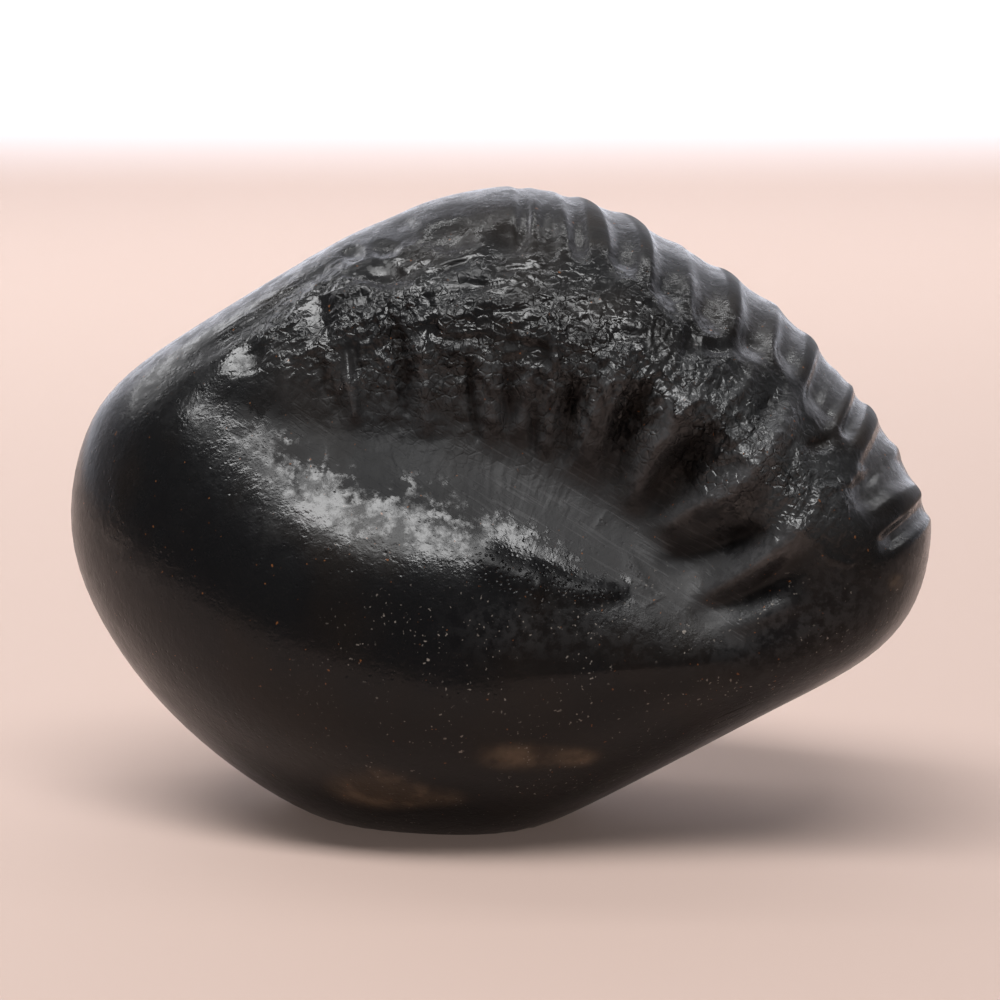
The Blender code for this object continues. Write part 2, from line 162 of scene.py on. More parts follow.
# Soft swellings of the face and of the back: x, z, height and radius.
FACE_SWELLINGS = (
    (-15.0, -10.0, 3.8, 18.0),
    (24.0, -6.0, 1.2, 12.0),
)
BACK_SWELLINGS = (
    (-14.0, -6.0, 2.4, 18.0),
    (12.0, 10.0, -1.6, 12.0),
    (20.0, -8.0, 0.8, 10.0),
)
# The valley lies where the smooth lobe and the coil both roll away from the viewer. Each starts to
# fall along a line, left to right: column, row and slope beyond the line. The roundings soften the lines.
LOBE_SHOULDER = from_photo((
    (150, 335, 0.38),
    (152, 370, 0.38),
    (168, 420, 0.38),
    (200, 480, 0.38),
    (260, 535, 0.38),
    (340, 560, 0.40),
    (430, 568, 0.43),
    (520, 590, 0.52),
    (600, 622, 0.60),
    (680, 658, 0.65),
    (740, 686, 0.60),
    (800, 705, 0.50),
    (850, 715, 0.40),
))
COIL_SHOULDER = from_photo((
    (150, 378, 0.36),
    (190, 352, 0.36),
    (235, 328, 0.38),
    (300, 308, 0.40),
    (380, 308, 0.42),
    (450, 322, 0.46),
    (520, 342, 0.52),
    (580, 362, 0.55),
    (640, 388, 0.56),
    (700, 428, 0.57),
    (750, 480, 0.57),
    (788, 540, 0.57),
    (800, 600, 0.57),
    (780, 655, 0.57),
    (745, 700, 0.57),
))
LOBE_ROUNDING = 3.5
COIL_ROUNDING = 2.5
# Rounding of the crease where the two meet, as a part of its depth.
CREASE_ROUNDING = 0.12
# The deepest that the valley goes, which its finish is measured against.
VALLEY_DEPTH = 6.0
# The swell of the coil's side, along its middle: column, row, height and half width in millimetres.
COIL = from_photo((
    (262, 345, 0.30, 5.8),
    (330, 320, 0.80, 5.8),
    (420, 308, 1.30, 6.0),
    (540, 318, 2.00, 6.0),
    (640, 355, 2.60, 5.8),
    (720, 410, 2.80, 5.5),
    (790, 480, 2.60, 5.0),
    (838, 548, 1.50, 4.3),
))
# The foot of the smooth outer rock along the top left, which ends in a low ledge over the coil, in the
# same columns.
LEDGE = from_photo((
    (150, 382, -0.20, 1.3),
    (200, 352, -0.70, 1.1),
    (245, 328, -1.00, 0.9),
    (290, 293, -1.10, 0.8),
    (330, 262, -1.10, 0.8),
    (375, 232, -1.00, 0.8),
    (420, 214, -0.70, 0.8),
    (470, 206, -0.30, 0.9),
))

# Ribs of the coil's inner side: column and row of the inner end, then of the outer end, how far the
# middle bows to the left of the line between them, height and half width in millimetres.
INNER_RIBS = from_photo((
    (284, 408, 284, 360, 0.0, 0.30, 0.50),
    (354, 419, 341, 338, 0.0, 0.80, 0.60),
    (426, 428, 420, 302, 0.0, 0.75, 0.70),
    (492, 434, 488, 352, 0.0, 0.90, 0.90),
    (520, 430, 532, 350, 0.0, 0.70, 0.70),
    (548, 446, 557, 300, 0.0, 0.60, 0.60),
    (584, 462, 625, 358, 0.5, 1.10, 0.95),
    (601, 446, 636, 362, 0.3, 0.60, 0.40),
    (634, 502, 697, 392, 0.5, 1.40, 1.20),
    (664, 526, 794, 392, -1.7, 1.40, 1.25),
    (726, 402, 753, 364, -0.5, 0.40, 0.50),
    (706, 596, 802, 522, -0.3, 1.50, 1.20),
    (730, 628, 798, 600, 0.0, 0.50, 0.90),
), pairs=2)
# Grooves, deep pockets and pits between them, in the same columns.
GROOVES = from_photo((
    (372, 262, 412, 262, 0.0, -0.18, 0.30),
    (440, 270, 482, 257, 0.0, -0.35, 0.35),
    (500, 272, 538, 268, 0.0, -0.30, 0.35),
    (442, 340, 500, 338, 0.0, -0.35, 0.35),
    (505, 338, 560, 350, 0.0, -0.30, 0.35),
    (404, 412, 383, 300, -0.5, -0.50, 0.70),
    (340, 415, 312, 352, 0.0, -0.30, 0.60),
    (478, 438, 471, 350, 0.3, -0.60, 0.35),
    (508, 430, 508, 368, 0.0, -0.40, 0.50),
    (534, 456, 534, 405, 0.0, -0.50, 0.35),
    (563, 458, 577, 380, 0.0, -0.80, 0.70),
    (612, 482, 652, 382, 0.5, -1.00, 0.90),
    (655, 510, 716, 436, 0.5, -1.50, 1.30),
    (758, 424, 774, 392, 0.0, -0.60, 0.80),
    (672, 562, 764, 531, 0.0, -1.30, 1.00),
    (702, 612, 800, 560, -0.3, -0.60, 1.10),
    (806, 446, 834, 440, 0.0, -0.70, 0.60),
    (856, 482, 868, 474, 0.0, -0.60, 0.50),
), pairs=2)
# The part of its full height that an inner rib or groove has at its inner end and at its outer end.
INNER_END = 0.8
OUTER_END = 0.3
# Ribs of the coil's outer side, which cross its edge and die out on the back: station and ring angle
# of the inner end, station where the rib crosses the edge, ring angle where it ends, height and half
# width.
OUTER_RIBS = (
    (8.60, 51.0, 8.20, 100.0, 0.45, 0.75),
    (9.10, 47.0, 8.60, 104.0, 0.35, 1.10),
    (9.55, 51.0, 9.05, 108.0, 0.60, 1.00),
    (10.45, 49.0, 9.70, 114.0, 0.80, 1.60),
    (11.70, 46.0, 10.60, 118.0, 0.90, 2.00),
    (12.85, 47.0, 12.25, 118.0, 0.95, 2.10),
    (13.85, 50.0, 13.75, 118.0, 0.95, 2.00),
    (14.55, 55.0, 14.65, 118.0, 0.90, 1.80),
    (15.30, 53.0, 15.50, 118.0, 0.85, 1.50),
    (15.60, 52.0, 15.85, 100.0, 0.50, 0.85),
    (16.05, 55.0, 16.15, 118.0, 0.85, 0.95),
    (16.70, 51.0, 16.80, 118.0, 0.85, 1.50),
    (16.85, 45.0, 17.55, 116.0, 0.90, 1.70),
    (18.05, 47.0, 18.50, 108.0, 0.80, 1.10),
)
# The degrees over which an outer rib rises at its inner end and fades at its other end.
RIB_START_DEG = 8.0
RIB_END_DEG = 12.0
# The share of an outer rib's height that is worn off where it crosses the edge, the ring angles between
# which the wear sets in, and the part of its width that a rib has at its inner end.
EDGE_WEAR = 0.5
EDGE_WEAR_DEG = (62.0, 86.0)
INNER_WIDTH = 0.7
# The small knob at the right end: station, ring angle, height and radius. A radian of ring angle spans
# about as much there as the back is deep.
KNOB = (18.55, 88.0, 0.8, 1.0)
RADIAN_MM = 21.0
# Where the grooves between the outer ribs are dull: a band of stations and one of ring angles, each as
# its first place with the length of the rise and its last place with the length of the fall, and the
# height of rib that is free of it.
DULL_STATIONS = ((8.9, 0.8), (18.4, 0.4))
DULL_DEG = ((54.0, 8.0), (112.0, 16.0))
DULL_HEIGHT = 0.45

# The rough, weathered band between the inner and the outer ribs: column, row, strength and half width
# in millimetres.
ROUGH_BAND = from_photo((
    (250, 338, 0.50, 2.6),
    (348, 334, 0.90, 5.2),
    (450, 353, 1.10, 7.0),
    (560, 368, 1.10, 7.0),
    (650, 393, 1.00, 6.2),
    (720, 430, 1.00, 4.8),
    (785, 483, 1.00, 4.2),
    (840, 510, 0.80, 3.0),
))
# Its scales, coarse and fine: width round the coil in stations, length along a rib, tilt and crevice
# depth in millimetres.
SCALES = (
    (0.44, 1.30, 0.34, 0.20),
    (0.22, 0.65, 0.26, 0.14),
)
# How far the scales' lattice is bent, as a part of a scale, and how many scales one bend takes.
SCALE_BEND = 0.6
SCALE_BEND_LENGTH = 1.3
# How far a scale's centre strays from its place in the lattice, how far a whole scale is raised or sunk,
# and the width of a crevice, as parts of a scale.
SCALE_STRAY = 0.38
SCALE_STEP = 0.35
CREVICE_WIDTH = 0.22
# The most that the band's strength comes to where its strokes overlap.
ROUGH_LIMIT = 1.2

# Lumps and worn facets that stand out singly: column, row, height in millimetres, and radii across and
# up in pixels.
LUMPS = from_photo((
    (250, 355, 0.50, 14, 16),
    (318, 316, 0.50, 17, 24),
    (348, 356, 0.45, 10, 18),
    (385, 275, 0.50, 22, 12),
    (352, 253, 0.35, 11, 8),
    (383, 248, 0.40, 14, 9),
    (362, 300, 0.30, 11, 11),
    (403, 230, 0.25, 18, 16),
    (450, 236, 0.35, 26, 18),
    (505, 245, 0.30, 15, 17),
    (424, 303, 0.35, 9, 12),
    (427, 330, 0.45, 11, 11),
    (470, 285, 0.35, 18, 9),
    (480, 322, 0.30, 15, 16),
    (537, 354, 0.40, 15, 12),
    (517, 408, 0.30, 13, 10),
    (618, 335, 0.30, 14, 12),
    (690, 346, 0.35, 10, 14),
    (716, 347, 0.35, 14, 9),
    (746, 344, 0.40, 16, 14),
    (672, 428, 0.30, 16, 12),
    (735, 470, 0.30, 16, 12),
    (700, 520, 0.30, 18, 12),
    (872, 505, 0.35, 26, 18),
))
# How steep a lump's side is: 2 would be a round bump. A lump of the calm height or more has the calm
# share of the band's scales worn off it.
LUMP_EDGE = 3.0
CALM_HEIGHT = 0.3
CALM_SHARE = 0.75

# The thin crack in the valley and the wormy line by the right end: depth, half width and course.
CRACKS = (
    (-0.22, 0.16, ((8.4, 0.1), (9.4, -1.4), (10.0, -2.4), (11.0, -3.9), (11.7, -4.9), (12.9, -6.6))),
    (-0.20, 0.18, ((24.7, -0.7), (25.5, -1.2), (26.4, -1.9), (27.0, -2.8), (27.7, -3.2), (29.0, -3.6))),
)
# The black scar on the lobe, as its broken hollows, in the same columns.
SCAR = (
    (-0.45, 1.1, ((-0.6, -3.6), (0.8, -4.4), (2.4, -5.2))),
    (-0.35, 0.5, ((2.4, -4.2), (5.2, -5.0), (7.6, -5.6), (9.8, -6.0))),
    (-0.30, 0.4, ((3.0, -5.6), (5.8, -6.1), (8.6, -6.3))),
    (-0.30, 0.5, ((3.0, -6.0), (3.6, -7.2))),
)
# Patches on the underside where the black skin is rubbed to brown: x, z, radii across and up.
RUBBED = (
    (-10.9, -22.4, 3.4, 1.7),
    (-7.0, -23.4, 4.0, 1.0),
    (1.6, -19.6, 3.4, 1.3),
    (6.7, -19.8, 1.6, 0.8),
    (33.2, -5.1, 0.8, 0.6),
)
# Where the skin is scuffed and has lost its polish, in the same columns.
SCUFFED = (
    (1.5, -8.8, 5.0, 2.2),
    (11.5, -8.5, 6.0, 2.4),
    (21.5, -9.5, 5.5, 3.2),
    (29.0, -8.0, 5.0, 4.0),
)
# How much of an inner rib counts as a crest, how much of a crevice counts as a hollow, and the depth at
# which a scar or a crack is fully bare.
INNER_CREST = 0.6
CREVICE_HOLLOW = 0.5
BARE_DEPTH = 0.3

# The masks that the mesh carries for its finish, and those of them that its colour uses.
MASKS = ("rough", "crest", "hollow", "valley", "scar", "rubbed", "scuffed")
COLOUR_MASKS = ("rough", "crest", "hollow", "rubbed", "scuffed")
# The slant of the fine scratches, and a scratch's length, depth and width in millimetres.
SCRATCH_SLANT_DEG = 31.0
SCRATCH_SIZE = (9.0, 1.0, 0.28)

# The floor, in metres: width, length in front of and behind the stone, the bend into the wall and the
# wall's height.
FLOOR_SIZE = (8.0, 4.0, 0.75, 0.30, 1.6)
# Where the floor's colour turns into the wall's: two heights in metres.
WALL_FOOT = (-0.004, 0.035)
# The lights: place, the point that each faces, and its size, in metres. The sky light has only a spread
# and a tilt.
STONE_MIDDLE = (0.0, 0.0, 0.025)
KEY_LIGHT = ((-0.08, -0.17, 0.475), STONE_MIDDLE, (0.60, 0.17))
WALL_LIGHT = ((0.0, 0.35, 0.75), (0.0, 1.05, 0.30), (1.2, 0.2))
RIM_LIGHT = ((-0.38, 0.35, 0.34), STONE_MIDDLE, (0.36, 0.16))
SKY_SPREAD_DEG = 75.0
SKY_TILT_DEG = -35.0


def smooth_step(value):
    """0 below 0, 1 above 1, and an S curve between them."""
    share = np.clip(value, 0.0, 1.0)
    return share * share * (3.0 - 2.0 * share)


def inside(value, band):
    """1 inside a band of two places and 0 beyond it. Each place comes with the length of its slope."""
    (first, rise), (last, fall) = band
    return smooth_step((value - first) / rise) * smooth_step((last - value) / fall)


def closed_curve(points, stations):
    """The smooth closed curve through the points, read at the given stations: a periodic cubic spline."""
    points = np.asarray(points, float)
    count = len(points)
    ring = np.eye(count)
    pull = (4.0 * ring + np.roll(ring, 1, axis=0) + np.roll(ring, -1, axis=0)) / 6.0
    controls = np.linalg.solve(pull, points)
    whole = np.floor(stations).astype(int)
    part = (stations - whole)[..., None]
    weights = (
        (1.0 - part) ** 3 / 6.0,
        (3.0 * part**3 - 6.0 * part**2 + 4.0) / 6.0,
        (-3.0 * part**3 + 3.0 * part**2 + 3.0 * part + 1.0) / 6.0,
        part**3 / 6.0,
    )
    return sum(weight * controls[(whole + k - 1) % count] for k, weight in enumerate(weights))


def open_curve(rows, samples):
    """Evenly counted samples of the smooth curve through the rows: a Catmull-Rom spline."""
    rows = np.asarray(rows, float)
    padded = np.vstack([2.0 * rows[0] - rows[1], rows, 2.0 * rows[-1] - rows[-2]])
    along = np.linspace(0.0, len(rows) - 1.0, samples)
    first = np.minimum(along.astype(int), len(rows) - 2)
    part = (along - first)[:, None]
    a, b, c, d = (padded[first + k] for k in range(4))
    bend, twist = 2.0 * a - 5.0 * b + 4.0 * c - d, 3.0 * b - a - 3.0 * c + d
    return 0.5 * (2.0 * b + (c - a) * part + bend * part**2 + twist * part**3)


def soft_stroke(x, z, rows, samples=60):
    """A soft ridge along a course, or a trough where its height is below 0.

    It is the sum of round Gaussian bumps along the course, each weighted by the length that it stands
    for, so that the crest has the stated height.
    """
    path = open_curve(rows, samples)
    steps = np.linalg.norm(np.gradient(path[:, :2], axis=0), axis=1)
    weights = path[:, 2] * steps / (math.sqrt(math.pi) * path[:, 3])
    total = np.zeros_like(x)
    for weight, (px, pz, _, half_width) in zip(weights, path):
        total += weight * np.exp(-((x - px) ** 2 + (z - pz) ** 2) / half_width**2)
    return total


def fall_beyond(x, z, rows, rounding):
    """How far the ground has fallen on the left of a line, from the line's slope at its nearest point."""
    path = open_curve(rows, 49)
    nearest = np.full_like(x, np.inf)
    side, slope = np.zeros_like(x), np.zeros_like(x)
    for start, end in zip(path[:-1], path[1:]):
        run = end - start
        length = math.hypot(run[0], run[1])
        off_x, off_z = x - start[0], z - start[1]
        share = np.clip((off_x * run[0] + off_z * run[1]) / length**2, 0.0, 1.0)
        away = np.hypot(off_x - share * run[0], off_z - share * run[1])
        closer = away < nearest
        nearest = np.where(closer, away, nearest)
        side = np.where(closer, (off_z * run[0] - off_x * run[1]) / length, side)
        slope = np.where(closer, start[2] + share * run[2], slope)
    beyond = np.sign(side) * nearest
    return slope * (beyond + np.sqrt(beyond**2 + rounding**2)) / 2.0


def valley(x, z):
    """Depth of the valley: the lesser of the lobe's fall and the coil's, with a rounded crease."""
    lobe = fall_beyond(x, z, LOBE_SHOULDER, LOBE_ROUNDING)
    coil = fall_beyond(x, z, COIL_SHOULDER[::-1], COIL_ROUNDING)
    soft = CREASE_ROUNDING * (lobe + coil)
    return (lobe + coil - np.sqrt((lobe - coil) ** 2 + soft**2)) / 2.0


def swellings(x, z, rows):
    """The sum of round Gaussian swellings."""
    return sum(h * np.exp(-((x - cx) ** 2 + (z - cz) ** 2) / radius**2) for cx, cz, h, radius in rows)


def lattice_value(i, j, kind=0.0):
    """A fixed value from -1 to 1 for each whole-numbered lattice point, another for each kind."""
    wave = np.sin(i * 127.1 + j * 311.7 + kind * 74.7) * 43758.5453
    return 2.0 * (wave - np.floor(wave)) - 1.0


def scales(a, b, kind):
    """A broken, scaly ground: each point belongs to the nearest of a jittered lattice of centres.

    Returns the height of the tilted scale at the point, from about -1 to 1, and how deep the point is in
    the crevice between two scales, which is 1 where two centres are equally near.
    """
    i, j = np.floor(a), np.floor(b)
    first, second = np.full_like(a, np.inf), np.full_like(a, np.inf)
    tilt = np.zeros_like(a)
    for di in (-1, 0, 1):
        for dj in (-1, 0, 1):
            ci, cj = i + di, j + dj
            off_a = a - ci - 0.5 - SCALE_STRAY * lattice_value(ci, cj, kind)
            off_b = b - cj - 0.5 - SCALE_STRAY * lattice_value(ci, cj, kind + 1.0)
            away = np.hypot(off_a, off_b)
            lean = lattice_value(ci, cj, kind + 2.0) * off_a + lattice_value(ci, cj, kind + 3.0) * off_b
            closer = away < first
            second = np.where(closer, first, np.minimum(second, away))
            step = SCALE_STEP * lattice_value(ci, cj, kind + 4.0)
            tilt = np.where(closer, lean + step, tilt)
            first = np.where(closer, away, first)
    return tilt, 1.0 - smooth_step((second - first) / CREVICE_WIDTH)


def swirl(a, b, kind):
    """Value noise from -1 to 1: the lattice's values, blended smoothly between its points."""
    i, j = np.floor(a), np.floor(b)
    s, t = smooth_step(a - i), smooth_step(b - j)
    low = lattice_value(i, j, kind) * (1 - s) + lattice_value(i + 1, j, kind) * s
    high = lattice_value(i, j + 1, kind) * (1 - s) + lattice_value(i + 1, j + 1, kind) * s
    return low * (1 - t) + high * t


def line_relief(x, z, rows):
    """Ridges or cuts along curves: the height times exp(-(distance / half width) ** 2)."""
    total = np.zeros_like(x)
    for height, half_width, course in rows:
        path = open_curve(course, 6 * len(course))
        nearest = np.full_like(x, np.inf)
        for start, end in zip(path[:-1], path[1:]):
            run = end - start
            off_x, off_z = x - start[0], z - start[1]
            share = np.clip((off_x * run[0] + off_z * run[1]) / (run @ run), 0.0, 1.0)
            nearest = np.minimum(nearest, np.hypot(off_x - share * run[0], off_z - share * run[1]))
        total += height * np.exp(-((nearest / half_width) ** 2))
    return total


def roundness(reach, fullness):
    """How much of the full depth is left at this share of the way from the pole to the edge."""
    return np.sqrt(np.maximum(1.0 - reach**fullness, 0.0))


def worn_stone(station, angle, shape):
    """The stone without its ribs, in the face's frame. angle is 0 at the front pole and 180 at the rear.

    A point's x and z lie on a quadratic curve from the pole through the station's guide to the edge, at
    the sine of the angle. Its depth is the pole's depth times the roundness there.
    """
    reach = np.sin(np.radians(angle))
    line = closed_curve(STATIONS, station)
    edge, guide = line[..., :2], line[..., 2:]
    r = reach[..., None]
    front = (1 - r) ** 2 * np.array(FRONT_POLE) + 2 * r * (1 - r) * guide + r**2 * edge
    back = (1 - r) * np.array(REAR_POLE) + r * edge
    on_front = angle < EDGE_DEG
    x, z = np.moveaxis(np.where(on_front[..., None], front, back), -1, 0)
    face = shape.face_depth / MM + swellings(x, z, FACE_SWELLINGS) - valley(x, z)
    face = face + soft_stroke(x, z, COIL) + soft_stroke(x, z, LEDGE)
    rear = shape.back_depth / MM + swellings(x, z, BACK_SWELLINGS)
    y = np.where(on_front, -face * roundness(reach, FACE_FULLNESS), rear * roundness(reach, BACK_FULLNESS))
    return np.stack([x, y + TURN * x, z], axis=-1)


def slopes(station, angle, shape):
    """Unit normals of the worn stone, and its millimetres per station, from two short steps.

    Within half a degree of a pole the steps would cross it, so the normal there points straight out.
    """
    step, step_deg, pole_deg = 0.02, 0.2, 0.5
    inner = np.clip(angle, pole_deg, 180.0 - pole_deg)
    across = worn_stone(station + step, inner, shape) - worn_stone(station - step, inner, shape)
    along = worn_stone(station, inner + step_deg, shape) - worn_stone(station, inner - step_deg, shape)
    normal = np.cross(along, across)
    normal /= np.linalg.norm(normal, axis=-1, keepdims=True)
    pole = np.where(angle < EDGE_DEG, -1.0, 1.0)[..., None] * np.array([0.0, 1.0, 0.0])
    near_pole = (np.minimum(angle, 180.0 - angle) < pole_deg)[..., None]
    spacing = np.linalg.norm(across, axis=-1) / (2 * step)
    return np.where(near_pole, pole, normal), spacing


def face_ribbing(x, z, rows):
    """Ribs or grooves on the face: a firm start near the crease and a longer fade at the outer end."""
    total = np.zeros_like(x)
    for x0, z0, x1, z1, bow, height, half_width in rows:
        length = math.hypot(x1 - x0, z1 - z0)
        side_x, side_z = bow * (z0 - z1) / length, bow * (x1 - x0) / length
        course = (
            (x0, z0, INNER_END * height, half_width),
            ((2 * x0 + x1) / 3 + side_x, (2 * z0 + z1) / 3 + side_z, height, half_width),
            ((x0 + 2 * x1) / 3 + side_x, (z0 + 2 * z1) / 3 + side_z, height, half_width),
            (x1, z1, OUTER_END * height, half_width),
        )
        total += soft_stroke(x, z, course, 30)
    return total


def edge_ribbing(station, angle, spacing):
    """The outer ribs, each along a line of stations that shifts steadily from its inner end to the edge.

    A rib's section is the exponential of minus the cube of the distance over the width, which has a broad
    crest and steep sides, so that the grooves between the ribs are narrow.
    """
    total = np.zeros_like(station)
    for inner_station, start, edge_station, end, height, half_width in OUTER_RIBS:
        share = np.clip((angle - start) / (EDGE_DEG - start), 0.0, 1.0)
        centre = inner_station + (edge_station - inner_station) * share
        width = half_width * (INNER_WIDTH + (1.0 - INNER_WIDTH) * share)
        section = np.exp(-(np.abs((station - centre) * spacing / width) ** 3))
        total += height * section * inside(angle, ((start, RIB_START_DEG), (end, RIB_END_DEG)))
    first, last = EDGE_WEAR_DEG
    return total * (1.0 - EDGE_WEAR * smooth_step((angle - first) / (last - first)))


def scaly_ground(station, from_pole):
    """The scales, coarse and fine, on a bent lattice: their height, and how deep each crevice is."""
    broken, crevices = np.zeros_like(station), np.zeros_like(station)
    for kind, (width, length, tilt, crevice) in enumerate(SCALES):
        a, b = station / width, from_pole / length
        bend_a, bend_b = (
            SCALE_BEND * swirl(a / SCALE_BEND_LENGTH, b / SCALE_BEND_LENGTH, 20.0 + way) for way in (0, 1)
        )
        lean, gap = scales(a + bend_a, b + bend_b, 10.0 * kind)
        broken += tilt * lean - crevice * gap
        crevices = np.maximum(crevices, gap)
    return broken, crevices


def spots(x, z, rows):
    """Soft oval patches: the sum of Gaussians of the given radii."""
    return sum(np.exp(-(((x - cx) / across) ** 2) - ((z - cz) / up) ** 2) for cx, cz, across, up in rows)


def knob(station, angle, spacing):
    """The small round knob at the right end."""
    centre, ring, height, radius = KNOB
    away = ((station - centre) * spacing) ** 2 + (np.radians(angle - ring) * RADIAN_MM) ** 2
    return height * np.exp(-away / radius**2)


def relief(station, angle, x, z, spacing, shape):
    """What stands out of the worn stone or is cut into it, and the masks for its finish.

    Returns the height along the surface's normal, and the height of the inner ribs straight towards the
    viewer, which keeps both of a rib's flanks in sight on the steep wall of the valley.
    """
    on_face = smooth_step((EDGE_DEG - angle) / FACE_FADE_DEG)
    outer = edge_ribbing(station, angle, spacing)
    inner = face_ribbing(x, z, INNER_RIBS) * on_face
    grooves = face_ribbing(x, z, GROOVES) * on_face
    lumps = sum(
        height * np.exp(-((np.hypot((x - cx) / across, (z - cz) / up) / FACE_PIXEL_MM) ** LUMP_EDGE))
        for cx, cz, height, across, up in LUMPS
    ) * on_face
    calm = 1.0 - CALM_SHARE * np.clip(lumps / CALM_HEIGHT, 0.0, 1.0)
    band = np.clip(soft_stroke(x, z, ROUGH_BAND), 0.0, ROUGH_LIMIT) * on_face
    rough = band * calm
    broken, crevices = scaly_ground(station, np.hypot(x - FRONT_POLE[0], z - FRONT_POLE[1]))
    cracks = line_relief(x, z, CRACKS) * on_face
    scar = line_relief(x, z, SCAR) * on_face
    ribbed = inside(station, DULL_STATIONS) * inside(angle, DULL_DEG)
    between_ribs = ribbed * smooth_step(1.0 - outer / DULL_HEIGHT)
    height = outer + lumps + cracks + scar + shape.scale_relief * rough * broken
    height = height + knob(station, angle, spacing)
    ribbing = shape.rib_relief * (inner + grooves)
    masks = {
        "rough": rough,
        "crest": np.clip(outer + INNER_CREST * inner, 0.0, 1.0),
        "hollow": np.clip(-grooves, 0.0, 1.0) + CREVICE_HOLLOW * band * crevices + between_ribs,
        "valley": np.clip(valley(x, z) / VALLEY_DEPTH, 0.0, 1.0) * on_face,
        "scar": np.clip(-(scar + cracks) / BARE_DEPTH, 0.0, 1.0),
        "rubbed": spots(x, z, RUBBED) * on_face,
        "scuffed": spots(x, z, SCUFFED) * on_face,
    }
    return height, ribbing, masks


def lean_back(points, degrees):
    """Turns the face's frame about x, so that the face looks a little upwards."""
    c, s = math.cos(math.radians(degrees)), math.sin(math.radians(degrees))
    x, y, z = np.moveaxis(points, -1, 0)
    return np.stack([x, y * c + z * s, z * c - y * s], axis=-1)


def set_down(points, wear):
    """Wears the foot flat, puts it at z = 0 and centres the stone over the origin."""
    points = points.copy()
    above = points[:, 2] - (points[:, 2].min() + wear)
    blended = (above + FOOT_RIM) ** 2 / (4.0 * FOOT_RIM)
    points[:, 2] = np.where(above > FOOT_RIM, above, np.where(above < -FOOT_RIM, 0.0, blended))
    points[:, :2] -= (points[:, :2].min(axis=0) + points[:, :2].max(axis=0)) / 2.0
    return points


def fit_box(points, low, high):
    """Stretches the points by the hair's breadth that brings their box onto the solid's, side by side."""
    at, to = points.min(axis=0), points.max(axis=0)
    return low + (points - at) * (high - low) / (to - at)


def crowd(shares, whole, bands):
    """Maps even shares from 0 to 1 onto places from 0 to whole that crowd together inside the bands."""
    places = np.linspace(0.0, whole, 2001)
    soft = 0.02 * whole
    density = np.ones_like(places)
    for low, high, times in bands:
        within = smooth_step((places - low) / soft) * smooth_step((high - places) / soft + 1.0)
        density += (times - 1.0) * within
    run = np.cumsum(density)
    run = (run - run[0]) / (run[-1] - run[0])
    return np.interp(shares, run, places)


def stone_surface(shape):
    """Points of the whole stone in metres, pole to pole, and the masks for its finish at each of them."""
    turn = np.arange(shape.meridians) / shape.meridians
    fall = np.arange(1, shape.rings) / shape.rings
    station = crowd(turn, len(STATIONS), MERIDIAN_DENSITY)
    angle = crowd(fall, 180.0, RING_DENSITY)
    angle, station = (grid.ravel() for grid in np.meshgrid(angle, station, indexing="ij"))
    station = np.concatenate([[0.0], station, [0.0]])
    angle = np.concatenate([[0.0], angle, [180.0]])
    base = worn_stone(station, angle, shape)
    normal, spacing = slopes(station, angle, shape)
    raised, ribbing, masks = relief(station, angle, base[:, 0], base[:, 2], spacing, shape)
    points = base + raised[:, None] * normal - ribbing[:, None] * np.array([0.0, 1.0, 0.0])
    points = set_down(lean_back(points, math.degrees(shape.lean)), shape.foot_wear / MM) * MM
    return fit_box(points, np.array(CAD_BOX[0]), np.array(CAD_BOX[1])), masks


def globe_faces(meridians, rings):
    """Faces of a globe whose points run from the first pole, ring by ring, to the last pole."""
    here = np.arange(meridians)
    there = (here + 1) % meridians
    ring = 1 + meridians * np.arange(rings - 2)[:, None]
    quads = np.stack([ring + here, ring + meridians + here, ring + meridians + there, ring + there], axis=-1)
    last = 1 + meridians * (rings - 2)
    top = np.stack([np.zeros_like(here), 1 + here, 1 + there], axis=-1)
    bottom = np.stack([np.full_like(here, last + meridians), last + there, last + here], axis=-1)
    return quads.reshape(-1, 4), np.concatenate([top, bottom])


def build_mesh(name, points, quads, triangles):
    """A mesh from arrays of points, four-sided faces and three-sided faces, turned to face outwards."""
    corners = points[triangles]
    fans = np.concatenate([points[quads[:, (0, 1, 2)]], points[quads[:, (0, 2, 3)]], corners])
    if np.linalg.det(fans).sum() < 0.0:
        quads, triangles = quads[:, ::-1], triangles[:, ::-1]
    mesh = bpy.data.meshes.new(name)
    mesh.vertices.add(len(points))
    mesh.vertices.foreach_set("co", points.astype(np.float32).ravel())
    corner_points = np.concatenate([quads.ravel(), triangles.ravel()])
    sides = np.concatenate([np.full(len(quads), 4), np.full(len(triangles), 3)])
    mesh.loops.add(len(corner_points))
    mesh.loops.foreach_set("vertex_index", corner_points.astype(np.int32))
    mesh.polygons.add(len(sides))
    mesh.polygons.foreach_set("loop_start", (np.cumsum(sides) - sides).astype(np.int32))
    mesh.update(calc_edges=True)
    mesh.shade_smooth()
    if mesh.validate():
        raise RuntimeError(name + " has faces that don't fit together")
    return mesh


